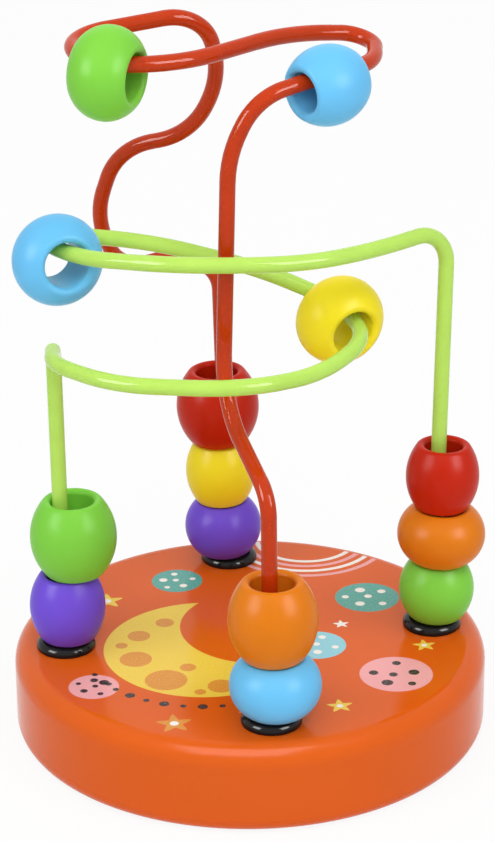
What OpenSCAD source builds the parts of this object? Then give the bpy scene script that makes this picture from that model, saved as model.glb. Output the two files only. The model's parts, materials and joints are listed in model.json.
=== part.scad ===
// Table-top bead maze: two bent, painted wires stand in a round wooden base and carry loose wooden beads.
// Millimetres, +Z up. The origin is the centre of the base's underside.

/* [Base] */
// Diameter of the base
base_d = 100; // [96:1:130]
// Thickness of the base
base_h = 19; // [16:0.5:26]
// Round-over of the base's top edge
base_top_round = 4; // [1:0.5:6]
// Round-over of the base's bottom edge
base_foot_round = 3; // [0.5:0.5:5]

/* [Wires] */
// Diameter of the painted wire
wire_d = 3.2; // [2.6:0.1:3.8]
// Distance between the two feet of the lime wire
lime_span = 78; // [70:1:82]
// Distance between the two feet of the red wire
red_span = 76.5; // [70:0.5:80]
// Height of the maze above the base, up to the highest corner of a wire
maze_h = 133; // [125:1:160]
// Depth of a wire's end below the top of the base
wire_socket = 12; // [8:0.5:13]

/* [Collars] */
// Diameter of a collar's flange
collar_d = 12.4; // [10:0.2:15]
// Height of a collar's flange above the base
collar_h = 2.1; // [1.9:0.1:4]
// Round-over of the flange's top edge
collar_top_round = 1.5; // [0.4:0.1:1.6]
// Round-over of the flange's bottom edge
collar_foot_round = 0.3; // [0.2:0.1:0.5]
// Diameter of the collar's shank in the base
shank_d = 7; // [6:0.2:9]
// Length of the collar's shank
shank_len = 8; // [5:0.5:10]
// Gap round the wire in the collar's bore and round the shank in the base, on the radius
collar_fit = 0.05; // [0.02:0.01:0.1]

/* [Barrel beads] */
// Diameter of a large barrel
barrel_d = 18.1; // [16:0.1:20]
// Height of a large barrel
barrel_h = 16.6; // [14:0.1:20]
// Bore of a large barrel
barrel_bore = 9; // [8:0.1:10]

/* [Small barrel beads] */
// Diameter of a small barrel
small_d = 15.4; // [14:0.1:17]
// Height of a small barrel
small_h = 14.2; // [12:0.1:16]
// Bore of a small barrel
small_bore = 7.8; // [7.4:0.1:9]

/* [Ball bead] */
// Diameter of the ball bead
ball_d = 15.9; // [14:0.1:18]
// Height of the ball bead
ball_h = 14.8; // [13:0.1:16]
// Bore of the ball bead
ball_bore = 8; // [7:0.1:8.6]

/* [Round beads] */
// Diameter of a round bead
round_d = 15.9; // [14:0.1:18]
// Height of a round bead
round_h = 13; // [12:0.1:15]
// Bore of a round bead
round_bore = 8; // [7.6:0.1:8.8]

/* [Disc bead] */
// Diameter of the disc bead
disc_d = 17; // [15:0.1:19]
// Height of the disc bead
disc_h = 12.4; // [10:0.1:14]
// Bore of the disc bead
disc_bore = 8.4; // [7:0.1:9.4]

/* [Flat beads] */
// Diameter of a flat bead
flat_d = 18.6; // [17:0.1:20]
// Height of a flat bead
flat_h = 12; // [10:0.1:13]
// Bore of a flat bead
flat_bore = 9.2; // [8.8:0.1:10]

/* [All beads] */
// Radius of the rounded lip at each end of a bore
bead_lip = 1; // [0.6:0.1:1.2]
// Gap that a bead keeps from its seat
rest_gap = 0.2; // [0.1:0.05:0.4]

/* [Hidden] */
$fn = 72;
// How far a cut runs past the face that it opens
overrun = 1;
// A formed bend is this much fuller, on the radius, than the straight wire
bend_swell = 0.02;
// How far a straight laps into a bend, as a share of the longest lap that stays inside it
lap_share = 0.7;
// How far the narrow straight band round a bead's middle cuts into its side arc
band_cut = 0.008;
// How far a bead's lip stands proud of the side and the bore that it joins
lip_proud = 0.006;

// Corners of the lime wire from the left foot to the right one: X and Y as shares of half the span,
// Z as a share of the maze's height, and the share of the shorter neighbouring run that the bend takes up.
lime_corner_shares = [
    [-1.015, 0, 0.51, 0.26], [-1.035, -0.31, 0.519, 0.42], [-0.745, -0.665, 0.522, 0.48],
    [-0.12, -0.855, 0.527, 0.48], [0.315, -0.565, 0.511, 0.48], [0.59, -0.27, 0.528, 0.45],
    [0.53, 0.175, 0.537, 0.45], [0.095, 0.22, 0.598, 0.48], [-0.53, 0.22, 0.655, 0.48],
    [-1.135, 0.32, 0.662, 0.42], [-0.875, -0.145, 0.666, 0.4], [-0.355, -0.54, 0.687, 0.48],
    [0.24, -0.46, 0.674, 0.48], [0.645, -0.23, 0.667, 0.48], [1.05, 0, 0.675, 0.44]
];
// Corners of the red wire from the front foot to the back one, given in the same way
red_corner_shares = [
    [-0.01, -0.985, 0.368, 0.17], [-0.175, -0.395, 0.449, 0.4], [-0.135, -0.395, 0.839, 0.45],
    [0.01, -0.405, 0.923, 0.48], [0.425, -0.24, 0.944, 0.48], [0.66, -0.06, 0.941, 0.48],
    [0.73, 0.375, 0.952, 0.48], [0.255, 0.195, 0.972, 0.48], [-0.36, -0.29, 0.969, 0.48],
    [-0.85, -0.345, 0.977, 0.48], [-0.91, 0.125, 0.984, 0.46], [-0.195, 0.21, 1.008, 0.48],
    [-0.085, 0.365, 0.896, 0.48], [-0.24, 0.5, 0.793, 0.48], [-0.62, 0.705, 0.759, 0.48],
    [-0.745, 0.865, 0.632, 0.48], [-0.605, 0.97, 0.53, 0.48], [-0.28, 1, 0.549, 0.48],
    [-0.05, 0.985, 0.52, 0.45]
];

// Bead kinds as diameter, height and bore
barrel_bead = [barrel_d, barrel_h, barrel_bore];
small_bead = [small_d, small_h, small_bore];
ball_bead = [ball_d, ball_h, ball_bore];
round_bead = [round_d, round_h, round_bore];
disc_bead = [disc_d, disc_h, disc_bore];
flat_bead = [flat_d, flat_h, flat_bore];

// Paints
orange_base = "#e2622b";
lime_paint = "#b9e65c";
red_paint = "#c8381a";
green = "#7fd048";
purple = "#6b4ac4";
yellow = "#f2d62f";
red = "#c42a18";
orange = "#ea8a24";
light_blue = "#72c4f2";
collar_black = "#1d1c1c";

// A route's points: a foot in the base, the corners, and the other foot
function route(foot, span, corner_shares) = concat(
    [foot],
    [for (c = corner_shares) [c.x * span / 2, c.y * span / 2, base_h + c.z * maze_h]],
    [[-foot.x, -foot.y, foot.z]]
);
wire_end_z = base_h - wire_socket;
lime_route = route([-lime_span / 2, 0, wire_end_z], lime_span, lime_corner_shares);
red_route = route([0, -red_span / 2, wire_end_z], red_span, red_corner_shares);

function unit(v) = v / norm(v);
// A bend at corner i of a route: centre, direction to its start, axis, radius, turn, start and end
function bend(points, i, cut_share) =
    let (
        back = unit(points[i - 1] - points[i]),
        ahead = unit(points[i + 1] - points[i]),
        cut = cut_share * min(norm(points[i - 1] - points[i]), norm(points[i + 1] - points[i])),
        turn = 180 - acos(back * ahead),
        radius = cut / tan(turn / 2),
        centre = points[i] + unit(back + ahead) * radius / cos(turn / 2),
        start = points[i] + back * cut
    )
    [centre, unit(start - centre), unit(cross(ahead, back)), radius, turn, start, points[i] + ahead * cut];
function bends(points, corner_shares) =
    [for (i = [1 : len(points) - 2]) bend(points, i, corner_shares[i - 1][3])];
lime_bends = bends(lime_route, lime_corner_shares);
red_bends = bends(red_route, red_corner_shares);

// A leg: where the wire's centre line leaves the base, and its direction upwards
function leg(foot, corner) =
    let (rise = unit(corner - foot))
    [foot + rise * wire_socket / rise.z, rise];
left_leg = leg(lime_route[0], lime_route[1]);
right_leg = leg(lime_route[len(lime_route) - 1], lime_route[len(lime_route) - 2]);
front_leg = leg(red_route[0], red_route[1]);
back_leg = leg(red_route[len(red_route) - 1], red_route[len(red_route) - 2]);
legs = [left_leg, right_leg, front_leg, back_leg];
collar_names = ["collar_left", "collar_right", "collar_front", "collar_back"];

// Stacked beads on each leg from the bottom up: name, kind, paint and lean,
// where the lean is the sideways shift as shares of the play between bore and wire
stacks = [
    [
        ["bead_left_purple", ball_bead, purple, [0.28, 0]],
        ["bead_left_green", barrel_bead, green, [0.86, 0]]
    ],
    [
        ["bead_right_green", round_bead, green, [0.3, 0]],
        ["bead_right_orange", flat_bead, orange, [0.42, 0]],
        ["bead_right_red", small_bead, red, [0.45, 0]]
    ],
    [
        ["bead_front_blue", flat_bead, light_blue, [0.3, 0]],
        ["bead_front_orange", barrel_bead, orange, [0.2, 0]]
    ],
    [
        ["bead_back_purple", disc_bead, purple, [-0.4, 0]],
        ["bead_back_yellow", small_bead, yellow, [-0.5, 0]],
        ["bead_back_red", barrel_bead, red, [-0.44, 0]]
    ]
];
// Beads that hang on a bend: name, kind, paint, bend, share of its turn, which is over 1 past its end,
// the shares of the play that shift the bead inwards and let it hang down,
// and the shares of its tilt that turn it outwards and lift its leading end
hung_beads = [
    ["bead_loop_blue", flat_bead, light_blue, lime_bends[10], 0.04, -0.35, 0.77, 0.43, 0.23],
    ["bead_loop_yellow", flat_bead, yellow, lime_bends[5], 1.36, 0.36, 0, 0.14, 0.33],
    ["bead_top_green", flat_bead, green, red_bends[9], 0.3, -0.18, 0.9, -0.28, -0.04],
    ["bead_top_blue", round_bead, light_blue, red_bends[4], 0.35, 0.23, 0.9, -0.19, 0.1]
];

// Half profile of a round piece with a rounded top and bottom edge
module rounded_profile(radius, height, top_round, foot_round) {
    shoulder = height - top_round;
    translate([0, foot_round]) square([radius, shoulder - foot_round]);
    square([radius - foot_round, shoulder]);
    translate([0, foot_round]) square([radius - top_round, height - foot_round]);
    intersection() {
        translate([radius - top_round, shoulder]) circle(r = top_round);
        translate([0, shoulder]) square([radius + overrun, top_round + overrun]);
    }
    intersection() {
        translate([radius - foot_round, foot_round]) circle(r = foot_round);
        translate([0, -overrun]) square([radius + overrun, foot_round + overrun]);
    }
}

// Turns +Z to a direction by the shortest turn
module aim(direction) {
    heading = atan2(direction.y, direction.x);
    rotate([0, acos(direction.z / norm(direction)), heading]) rotate([0, 0, -heading]) children();
}

module rod(from, to, d) {
    translate(from) aim(to - from) cylinder(h = norm(to - from), d = d);
}

// Curved stretch of wire
module bend_tube(b, d) {
    across = cross(b[2], b[1]);
    multmatrix([
        [b[1].x, across.x, b[2].x, b[0].x],
        [b[1].y, across.y, b[2].y, b[0].y],
        [b[1].z, across.z, b[2].z, b[0].z]
    ])
    rotate_extrude(angle = b[4]) translate([b[3], 0]) circle(d = d);
}

// Longest stretch that a straight runs into a bend and stays inside its fuller tube
function lap(b) = lap_share * sqrt(2 * b[3] * bend_swell);

// A wire along a route: a straight from each bend to the next, lapped into both
module wire(points, route_bends) {
    last = len(route_bends) - 1;
    for (b = route_bends) bend_tube(b, wire_d + 2 * bend_swell);
    for (i = [0 : last + 1]) {
        from = i == 0 ? points[0] : route_bends[i - 1][6];
        to = i > last ? points[last + 2] : route_bends[i][5];
        run = unit(to - from);
        lap_from = i == 0 ? 0 : lap(route_bends[i - 1]);
        lap_to = i > last ? 0 : lap(route_bends[i]);
        rod(from - run * lap_from, to + run * lap_to, wire_d);
    }
}

module wire_lime() {
    color(lime_paint) wire(lime_route, lime_bends);
}

module wire_red() {
    color(red_paint) wire(red_route, red_bends);
}

module base() {
    color(orange_base) difference() {
        rotate_extrude() rounded_profile(base_d / 2, base_h, base_top_round, base_foot_round);
        for (l = legs) {
            translate([l[0].x, l[0].y, base_h - shank_len])
                cylinder(h = shank_len + overrun, d = shank_d + 2 * collar_fit);
            rod(l[0] - l[1] * wire_socket / l[1].z, l[0], wire_d);
        }
    }
}

// Flanged plug that holds a wire's foot in the base
module collar(l) {
    color(collar_black) difference() {
        translate([l[0].x, l[0].y, base_h]) {
            rotate_extrude() rounded_profile(collar_d / 2, collar_h, collar_top_round, collar_foot_round);
            translate([0, 0, -shank_len]) cylinder(h = shank_len + collar_h - collar_top_round, d = shank_d);
        }
        rod(
            l[0] - l[1] * (shank_len + overrun),
            l[0] + l[1] * (collar_h + overrun),
            wire_d + 2 * collar_fit
        );
    }
}

// Bead about +Z: a side arc, cut to a narrow band round the middle, runs into a rounded lip at each end
module bead_solid(kind) {
    r = kind[0] / 2;
    crown = r + band_cut;
    bore_r = kind[2] / 2;
    lip_x = bore_r + bead_lip;
    lip_z = kind[1] / 2 - bead_lip;
    inset = lip_x - crown;
    side_r = (bead_lip * bead_lip - inset * inset - lip_z * lip_z) / (2 * (inset + bead_lip));
    meet_z = lip_z * side_r / (side_r - bead_lip);
    rotate_extrude() difference() {
        union() {
            intersection() {
                translate([crown - side_r, 0]) circle(r = side_r);
                polygon([
                    [0, -lip_z], [lip_x, -lip_z], [lip_x, -meet_z], [r, -meet_z],
                    [r, meet_z], [lip_x, meet_z], [lip_x, lip_z], [0, lip_z]
                ]);
            }
            for (end = [-1, 1])
                translate([lip_x - lip_proud, end * (lip_z + lip_proud)]) circle(r = bead_lip + lip_proud);
        }
        translate([-bore_r, -kind[1]]) square([2 * bore_r, 2 * kind[1]]);
    }
}

function play(kind) = (kind[2] - wire_d) / 2;
// Largest tilt of a bead on a straight wire
function tilt(kind) = atan(2 * play(kind) / kind[1]);
// Height of a stack below its bead i, from the base's top
function stack_height(stack, i) =
    i == 0 ? collar_h + rest_gap : stack_height(stack, i - 1) + stack[i - 1][1][1] + rest_gap;

module stacked_bead(l, stack, i) {
    b = stack[i];
    lean = play(b[1]) * [b[3].x, b[3].y, 0];
    color(b[2])
        translate(l[0] + l[1] * (stack_height(stack, i) + b[1][1] / 2) + lean)
        aim(l[1]) bead_solid(b[1]);
}

// Centre and direction of a bead that hangs on a bend
function hung_place(b) =
    let (
        on = b[3],
        turned = on[4] * b[4],
        outwards = on[1] * cos(turned) + cross(on[2], on[1]) * sin(turned),
        upwards = on[2] * sign(on[2].z),
        reach = b[1][1] / 2 + bead_lip,
        sag = on[3] - sqrt(max(on[3] * on[3] - reach * reach, 0)),
        room = play(b[1]) - rest_gap,
        inset = sag / 2 + room * b[5],
        hang = b[6] * sqrt(max(room * room - inset * inset, 0)),
        swing = b[7] * tilt(b[1]),
        lift = b[8] * tilt(b[1]),
        facing = cross(on[2], outwards) * cos(swing) + outwards * sin(swing)
    )
    [on[0] + outwards * (on[3] - inset) - upwards * hang, facing * cos(lift) + upwards * sin(lift)];

module hung_bead(b) {
    place = hung_place(b);
    color(b[2]) translate(place[0]) aim(place[1]) bead_solid(b[1]);
}

base();
wire_lime();
wire_red();
for (i = [0 : 3]) {
    collar(legs[i]);
    for (j = [0 : len(stacks[i]) - 1])
        stacked_bead(legs[i], stacks[i], j);
}
for (b = hung_beads)
    hung_bead(b);
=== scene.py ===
"""Looks of a small bead maze: lacquered wooden beads on two painted wires over a printed round base."""
import json
import math

import bpy
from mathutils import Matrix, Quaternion, Vector


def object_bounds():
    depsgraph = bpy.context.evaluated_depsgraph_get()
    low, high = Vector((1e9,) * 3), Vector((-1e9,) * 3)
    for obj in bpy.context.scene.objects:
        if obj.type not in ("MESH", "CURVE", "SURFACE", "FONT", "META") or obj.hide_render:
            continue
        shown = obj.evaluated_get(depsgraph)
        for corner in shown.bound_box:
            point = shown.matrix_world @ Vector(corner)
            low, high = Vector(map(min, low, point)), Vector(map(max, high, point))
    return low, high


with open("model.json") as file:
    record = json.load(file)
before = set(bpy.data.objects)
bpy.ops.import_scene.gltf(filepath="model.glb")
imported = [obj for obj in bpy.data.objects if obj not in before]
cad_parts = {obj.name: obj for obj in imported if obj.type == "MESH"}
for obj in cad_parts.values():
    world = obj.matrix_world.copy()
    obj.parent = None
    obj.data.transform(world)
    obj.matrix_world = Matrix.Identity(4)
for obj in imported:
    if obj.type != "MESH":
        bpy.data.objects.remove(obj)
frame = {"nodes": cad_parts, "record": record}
cad_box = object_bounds()

MM = 0.001
WHITE = (1.0, 1.0, 1.0, 1.0)


def paint(code):
    """A colour written as six hex digits, as the linear values that a shader takes."""
    parts = [int(code[i:i + 2], 16) / 255 for i in (0, 2, 4)]
    linear = [c / 12.92 if c <= 0.04045 else ((c + 0.055) / 1.055) ** 2.4 for c in parts]
    return (*linear, 1.0)


def shade(colour, factor):
    """A lighter or deeper tone of a colour."""
    return (*(min(1.0, c * factor) for c in colour[:3]), 1.0)


class Value:
    """A shader socket that arithmetic works on: each operation adds one Math node."""

    def __init__(self, nodes, socket):
        self.nodes = nodes
        self.socket = socket

    def math(self, operation, *terms, clamp=False):
        settings = {"operation": operation, "use_clamp": clamp}
        return self.nodes.node("Math", settings, dict(enumerate(terms)))

    def __add__(self, other):
        return self.math("ADD", self, other)

    def __sub__(self, other):
        return self.math("SUBTRACT", self, other)

    def __rsub__(self, other):
        return self.math("SUBTRACT", other, self)

    def __mul__(self, other):
        return self.math("MULTIPLY", self, other)

    __radd__ = __add__
    __rmul__ = __mul__

    def ramp(self, start, end):
        """0 up to the start, 1 from the end on, and even in between."""
        slope = 1 / (end - start)
        return self.math("MULTIPLY_ADD", self, slope, -start * slope, clamp=True)

    def sine(self):
        return self.math("SINE", self)

    def size(self):
        return self.math("ABSOLUTE", self)

    def smaller(self, other):
        return self.math("MINIMUM", self, other)

    def larger(self, other):
        return self.math("MAXIMUM", self, other)


class Nodes:
    """A tree of shader nodes in the making."""
    SEEN_RAYS = ("Is Camera Ray", "Is Glossy Ray", "Is Transmission Ray")

    def __init__(self, tree):
        self.tree = tree

    def node(self, kind, settings, sockets, output=0):
        """Adds a node of a kind, sets it up, and gives its sockets their values or links."""
        made = self.tree.nodes.new("ShaderNode" + kind)
        for name, value in settings.items():
            setattr(made, name, value)
        for name, value in sockets.items():
            if isinstance(value, Value):
                self.tree.links.new(value.socket, made.inputs[name])
            else:
                made.inputs[name].default_value = value
        return Value(self, made.outputs[output])

    def seen(self):
        """1 for the rays that look straight at a surface or see it in a gloss or through glass."""
        path = self.node("LightPath", {}, {}).socket.node
        straight, gloss, glass = [Value(self, path.outputs[name]) for name in self.SEEN_RAYS]
        return straight.larger(gloss).larger(glass)

    def show(self, share, first, second, kind):
        """Ends the tree in an output that shows a mix of two shaders."""
        mix = self.node("MixShader", {}, {0: share, 1: first, 2: second})
        output = self.tree.nodes.new("ShaderNodeOutput" + kind)
        self.tree.links.new(mix.socket, output.inputs["Surface"])


def bare_nodes(owner):
    """The tree of a material or of the world, emptied."""
    owner.use_nodes = True
    owner.node_tree.nodes.clear()
    return Nodes(owner.node_tree)


class Finish(Nodes):
    """A material in the making. Even settings go on the shader's own sockets, others are linked."""

    def __init__(self, name, specular_level):
        self.material = bpy.data.materials.new(name)
        self.material.use_nodes = True
        super().__init__(self.material.node_tree)
        self.shader = self.tree.nodes["Principled BSDF"]
        self.shader.inputs["Specular IOR Level"].default_value = specular_level
        self.spot = self.place()

    def link(self, socket, value):
        self.tree.links.new(value.socket, self.shader.inputs[socket])

    def place(self, stretch=(1.0, 1.0, 1.0)):
        """Place on the part in millimetres, stretched by a factor along each axis."""
        spot = self.node("TexCoord", {}, {}, output="Object")
        scale = tuple(s / MM for s in stretch)
        return self.node("VectorMath", {"operation": "MULTIPLY"}, {0: spot, 1: scale})

    def axes(self, vector):
        split = self.node("SeparateXYZ", {}, {0: vector})
        return [Value(self, output) for output in split.socket.node.outputs]

    def noise(self, place, per_mm, detail=2.0, roughness=0.5):
        """Noise of so many waves to the millimetre."""
        sockets = {"Vector": place, "Scale": per_mm, "Detail": detail, "Roughness": roughness}
        return self.node("TexNoise", {}, sockets)

    def mix(self, share, first, second):
        return self.node("Mix", {"data_type": "RGBA"}, {0: share, 6: first, 7: second}, output=2)

    def tone(self, colour, spread, per_mm):
        """A colour that drifts by a small share to both sides."""
        drift = self.noise(self.spot, per_mm)
        return self.mix(drift, shade(colour, 1 - spread), shade(colour, 1 + spread))

    def roughen(self, least, most, per_mm):
        """A gloss that varies between two levels of roughness."""
        self.link("Roughness", least + (most - least) * self.noise(self.spot, per_mm))

    def bump(self, depth, per_mm, detail=2.0, stretch=(1.0, 1.0, 1.0)):
        """Relief of a depth in millimetres. It runs long where the stretch is under 1."""
        height = self.noise(self.place(stretch), per_mm, detail)
        sockets = {"Strength": 1.0, "Distance": depth * MM, "Height": height}
        self.link("Normal", self.node("Bump", {}, sockets))


class Picture:
    """Inks laid one over another on a lacquer, by places and sizes in millimetres."""
    EDGE = 0.12
    STAR_POINTS = 5
    STAR_WAIST_SHARE = 0.46

    def __init__(self, finish, ground):
        self.finish = finish
        self.flat = finish.place((1.0, 1.0, 0.0))
        self.colour = ground
        self.inked = 0.0

    def disc(self, x, y, radius):
        """Share of ink in a disc, with a thin soft edge."""
        sockets = {0: self.flat, 1: (x, y, 0.0)}
        away = self.finish.node("VectorMath", {"operation": "DISTANCE"}, sockets, output="Value")
        return away.ramp(radius + self.EDGE / 2, radius - self.EDGE / 2)

    def band(self, x, y, radius, width):
        """Share of ink in a ring."""
        return self.disc(x, y, radius + width / 2).smaller(1 - self.disc(x, y, radius - width / 2))

    def star(self, x, y, radius):
        """Share of ink in a plump star."""
        sockets = {0: self.flat, 1: (x, y, 0.0)}
        offset = self.finish.node("VectorMath", {"operation": "SUBTRACT"}, sockets)
        away = self.finish.node("VectorMath", {"operation": "LENGTH"}, {0: offset}, output="Value")
        across, along, _ = self.finish.axes(offset)
        turn = across.math("ARCTAN2", across, along) * (self.STAR_POINTS / 2)
        rim = radius - radius * (1 - self.STAR_WAIST_SHARE) * turn.sine().size()
        return (rim - away).ramp(-self.EDGE / 2, self.EDGE / 2)

    def lay(self, share, ink):
        self.colour = self.finish.mix(share, self.colour, ink)
        self.inked = share.larger(self.inked)


# Print on the base's top: inks, and motifs by place and radius in millimetres of the part's frame
INK_YELLOW = paint("F0CB3F")
INK_AMBER = paint("DF922A")
INK_BROWN = paint("37231F")
INK_PINK = paint("F0A6A8")
INK_TEAL = paint("56A79B")
INK_BLUE = paint("90CFDD")
INK_WHITE = paint("F6EFE8")
INK_WEAR = 0.3
MOON = (-10.0, -5.0, 21.5)
MOON_BITE = (3.0, 4.0, 17.5)
MOON_CRATERS = [
    (-25.0, -8.0, 3.4), (-19.5, -18.0, 4.4), (-8.5, -22.0, 2.8),
    (-23.5, 2.5, 2.4), (3.0, -19.5, 2.0), (-14.5, -13.0, 1.7),
    (-17.5, 8.0, 2.0), (-27.5, -1.5, 1.3), (-13.0, -24.0, 1.2),
]
# Dots on an orbit round the moon: first direction and step in degrees, and radii in turn
ORBIT_RADIUS = 25.5
ORBIT_START = 200
ORBIT_STEP = 9
ORBIT_COUNT = 13
ORBIT_DOTS = (0.65, 1.05)
# Arcs at the back: their common middle, radii, inks in turn and width
ARC_PLACE = (18.0, 45.0)
ARC_RADII = [11.0, 13.4, 15.8, 18.2]
ARC_INKS = (INK_WHITE, INK_PINK)
ARC_WIDTH = 1.1
# Planets: place, radius, turn of their spots in degrees, ink and spots' ink
PLANETS = [
    (27.5, 14.5, 7.0, 20, INK_TEAL, INK_WHITE),
    (-13.0, 28.0, 5.6, 80, INK_TEAL, INK_WHITE),
    (28.0, -21.5, 7.6, 150, INK_PINK, INK_BROWN),
    (-34.5, -19.0, 5.2, 0, INK_PINK, INK_BROWN),
    (13.5, -6.5, 6.2, 50, INK_BLUE, INK_WHITE),
]
# Spots on a planet: distance as a share of its radius, direction in degrees, and size as a share
PLANET_SPOTS = [
    (0.62, 15, 0.13), (0.55, 85, 0.16), (0.68, 150, 0.11),
    (0.5, 215, 0.15), (0.64, 290, 0.12), (0.08, 40, 0.12),
]
STARS = [
    (-19.5, -36.5, 3.8, INK_AMBER), (14.5, -33.5, 2.8, INK_YELLOW), (3.5, 4.5, 3.2, INK_AMBER),
    (36.0, -9.5, 2.6, INK_YELLOW), (-29.0, 20.0, 3.6, INK_YELLOW), (12.5, 14.0, 2.4, INK_PINK),
    (-4.5, -34.0, 1.8, INK_PINK), (20.0, 2.5, 1.8, INK_WHITE),
]
STAR_EYE_SHARE = 0.24


def polar(x, y, away, degrees):
    """The place at a distance and a direction from another one."""
    turn = math.radians(degrees)
    return x + away * math.cos(turn), y + away * math.sin(turn)


def printed(finish, lacquer):
    """The lacquer's colour with a night sky printed over it."""
    sky = Picture(finish, lacquer)
    for number, radius in enumerate(ARC_RADII):
        sky.lay(sky.band(*ARC_PLACE, radius, ARC_WIDTH), ARC_INKS[number % 2])
    for x, y, radius, turn, ink, spot_ink in PLANETS:
        sky.lay(sky.disc(x, y, radius), ink)
        for away, way, size in PLANET_SPOTS:
            spot = polar(x, y, radius * away, turn + way)
            sky.lay(sky.disc(*spot, radius * size), spot_ink)
    moon = sky.disc(*MOON).smaller(1 - sky.disc(*MOON_BITE))
    sky.lay(moon, INK_YELLOW)
    for crater in MOON_CRATERS:
        sky.lay(sky.disc(*crater).smaller(moon), INK_AMBER)
    for number in range(ORBIT_COUNT):
        spot = polar(*MOON[:2], ORBIT_RADIUS, ORBIT_START + ORBIT_STEP * number)
        sky.lay(sky.disc(*spot, ORBIT_DOTS[number % 2]), INK_BROWN)
    for x, y, radius, ink in STARS:
        sky.lay(sky.star(x, y, radius), ink)
        sky.lay(sky.disc(x, y, radius * STAR_EYE_SHARE), INK_WHITE)
    worn = finish.noise(sky.flat, per_mm=2.6, detail=3.0, roughness=0.7).ramp(start=0.5, end=0.75)
    return finish.mix(sky.inked * worn * INK_WEAR, sky.colour, INK_WHITE)


# Finishes by the record's slots: colours, and for a wire the share of its pale specks
BASE_ORANGE = paint("DE5E12")
COLLAR_DEEP = paint("131212")
COLLAR_PALE = paint("1B1919")
WIRE_COATS = {
    "wire_lime": ("B9E362", 0.12),
    "wire_red": ("BF380A", 0.5),
}
SPECK_LIFT = 1.5
BEAD_LACQUERS = {
    "bead_green": "80D045",
    "bead_purple": "7250D8",
    "bead_yellow": "FBE528",
    "bead_red": "C3260B",
    "bead_orange": "DF7B14",
    "bead_blue": "6CC2F2",
}


def base_finish():
    """Orange satin lacquer over turned wood, with the print on the flat of the top."""
    finish = Finish("base_lacquer", specular_level=0.16)
    lacquer = finish.tone(BASE_ORANGE, spread=0.04, per_mm=0.05)
    facing_up = finish.axes(finish.node("NewGeometry", {}, {}, output="Normal"))[2]
    top = facing_up.ramp(start=0.99, end=0.995)
    finish.link("Base Color", finish.mix(top, lacquer, printed(finish, lacquer)))
    finish.roughen(least=0.12, most=0.2, per_mm=0.3)
    finish.bump(depth=0.006, per_mm=0.7, detail=3.0, stretch=(1.0, 0.2, 1.0))
    return finish.material


def bead_finish(name, colour):
    """Satin lacquer over turned wood: a faint grain under an even colour."""
    finish = Finish(name, specular_level=0.1)
    finish.link("Base Color", finish.tone(colour, spread=0.05, per_mm=0.12))
    finish.roughen(least=0.28, most=0.36, per_mm=0.5)
    finish.bump(depth=0.008, per_mm=1.1, detail=3.0, stretch=(1.0, 1.0, 0.12))
    return finish.material


def wire_finish(name, colour, speck_share):
    """Glossy powder coat on steel: a shallow orange peel and a few faint specks."""
    finish = Finish(name, specular_level=0.17)
    coat = finish.tone(colour, spread=0.06, per_mm=0.2)
    specks = finish.noise(finish.spot, per_mm=2.4, detail=0.0).ramp(start=0.7, end=0.78)
    finish.link("Base Color", finish.mix(specks * speck_share, coat, shade(colour, SPECK_LIFT)))
    finish.roughen(least=0.04, most=0.09, per_mm=0.4)
    finish.bump(depth=0.005, per_mm=0.8)
    return finish.material


def collar_finish():
    """Glossy black plastic with fine moulding marks."""
    finish = Finish("collar_black", specular_level=0.22)
    drift = finish.noise(finish.spot, per_mm=0.3)
    finish.link("Base Color", finish.mix(drift, COLLAR_DEEP, COLLAR_PALE))
    finish.roughen(least=0.09, most=0.17, per_mm=0.8)
    finish.bump(depth=0.006, per_mm=1.5)
    return finish.material


def dress():
    """Gives every node its finish."""
    finishes = {"base_orange": base_finish(), "collar_black": collar_finish()}
    for slot, (code, speck_share) in WIRE_COATS.items():
        finishes[slot] = wire_finish(slot + "_coat", paint(code), speck_share)
    for slot, code in BEAD_LACQUERS.items():
        finishes[slot] = bead_finish(slot + "_lacquer", paint(code))
    for part in frame["record"]["subparts"]:
        node = frame["nodes"][part["node"]]
        node.data.materials.clear()
        node.data.materials.append(finishes[part["material_slot"]])
        node.data.shade_smooth()


# Camera, from the photograph: place and aim in millimetres of the part's frame, focal length in pixels
IMAGE_LONG_SIDE = 842
FOCAL_PX = 2808.4
SENSOR = 36.0
CAMERA_PLACE = Vector((-59.63, -530.21, 293.45)) * MM
CAMERA_AIM = Vector((1.92, 19.20, 60.30)) * MM
CAMERA_ROLL = math.radians(-0.479)


def add_camera():
    lens = bpy.data.cameras.new("camera")
    lens.sensor_width = SENSOR
    lens.lens = FOCAL_PX / IMAGE_LONG_SIDE * SENSOR
    camera = bpy.data.objects.new("camera", lens)
    camera.location = CAMERA_PLACE
    camera.rotation_mode = "QUATERNION"
    level = (CAMERA_AIM - CAMERA_PLACE).to_track_quat("-Z", "Y")
    camera.rotation_quaternion = level @ Quaternion((0, 0, 1), CAMERA_ROLL)
    bpy.context.scene.collection.objects.link(camera)
    bpy.context.scene.camera = camera


# Floor: half its side and its drop below the base in metres, and its share of plain white where it is seen
FLOOR_HALF = 3.0
FLOOR_DROP = 0.02 * MM
FLOOR_COLOUR = paint("F3F3F3")
FLOOR_GLOW = 0.9


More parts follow.
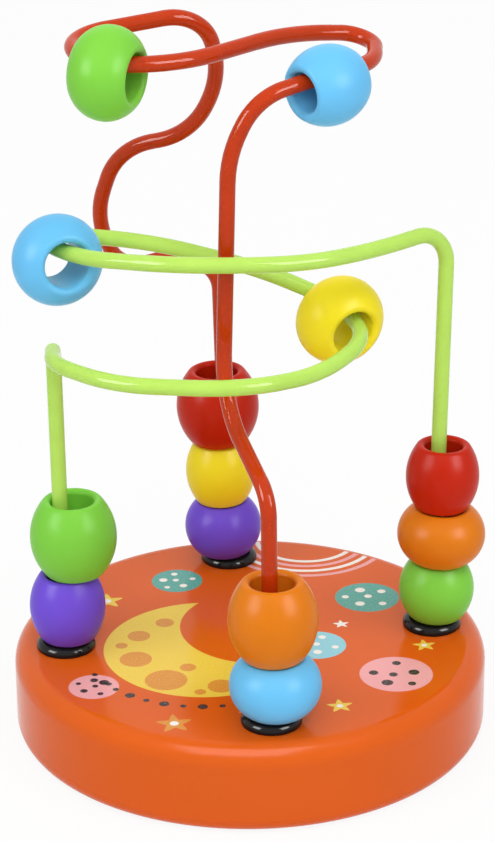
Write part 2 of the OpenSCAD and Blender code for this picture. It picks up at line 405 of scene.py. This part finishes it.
def add_floor():
    """A white floor that keeps a faint shadow of the maze."""
    half = FLOOR_HALF
    corners = [(-half, -half, 0), (half, -half, 0), (half, half, 0), (-half, half, 0)]
    mesh = bpy.data.meshes.new("floor")
    mesh.from_pydata(corners, [], [(0, 1, 2, 3)])
    floor = bpy.data.objects.new("floor", mesh)
    floor.location.z = -FLOOR_DROP
    material = bpy.data.materials.new("floor_white")
    nodes = bare_nodes(material)
    matt = nodes.node("BsdfDiffuse", {}, {"Color": FLOOR_COLOUR})
    glow = nodes.node("Emission", {}, {"Color": WHITE})
    nodes.show(nodes.seen() * FLOOR_GLOW, matt, glow, "Material")
    mesh.materials.append(material)
    bpy.context.scene.collection.objects.link(floor)


# Light: strength of the room, and the lamps' distance from the middle of the maze in metres
ROOM_STRENGTH = 0.38
LAMP_AWAY = 0.9
# Soft boxes: turn from the front and height in degrees, side in metres, and watts
SOFT_BOXES = {
    "left_box": (-68.0, 56.0, 0.42, 1.9),
    "right_box": (54.0, 56.0, 0.42, 1.9),
    "front_box": (-6.0, 44.0, 0.6, 3.6),
    "back_box": (174.0, 36.0, 0.6, 1.7),
}
# Boxes for the gloss alone, in the same form: low ones for all that stands on the base,
# and a high one for the base's edge, so that its flat top mirrors no low lamp
BEAD_SHEENS = {
    "left_sheen": (-64.0, 25.0, 0.44, 10.0),
    "right_sheen": (45.0, 26.0, 0.44, 10.0),
}
EDGE_SHEENS = {
    "edge_sheen": (-14.0, 62.0, 0.7, 9.0),
}


def add_room():
    """A pale room that shows white."""
    world = bpy.data.worlds.new("room")
    nodes = bare_nodes(world)
    room = nodes.node("Background", {}, {"Color": WHITE, "Strength": ROOM_STRENGTH})
    white = nodes.node("Background", {}, {"Color": WHITE})
    nodes.show(nodes.seen(), room, white, "World")
    bpy.context.scene.world = world


def add_lamp(name, turn, height, side, watts):
    """A square lamp that faces the middle of the maze."""
    turn = math.radians(turn)
    height = math.radians(height)
    level = math.cos(height)
    way = Vector((math.sin(turn) * level, -math.cos(turn) * level, math.sin(height)))
    light = bpy.data.lights.new(name, "AREA")
    light.size = side
    light.energy = watts
    lamp = bpy.data.objects.new(name, light)
    lamp.location = (cad_box[0] + cad_box[1]) / 2 + way * LAMP_AWAY
    lamp.rotation_mode = "QUATERNION"
    lamp.rotation_quaternion = (-way).to_track_quat("-Z", "Y")
    bpy.context.scene.collection.objects.link(lamp)
    return lamp


def add_sheens(sheens, nodes):
    """Lamps that give only gloss, and only to some of the nodes."""
    for name, place in sheens.items():
        lamp = add_lamp(name, *place)
        lamp.visible_diffuse = False
        reached = bpy.data.collections.new(name + "_on")
        for node in nodes:
            reached.objects.link(node)
        lamp.light_linking.receiver_collection = reached


def add_light():
    """Soft boxes round the camera and behind the maze, and the lamps for the gloss."""
    base = frame["nodes"]["base"]
    for name, place in SOFT_BOXES.items():
        add_lamp(name, *place).visible_glossy = False
    add_sheens(BEAD_SHEENS, [node for node in frame["nodes"].values() if node is not base])
    add_sheens(EDGE_SHEENS, [base])


add_camera()
dress()
add_floor()
add_room()
add_light()
bpy.context.scene.view_settings.view_transform = "Standard"
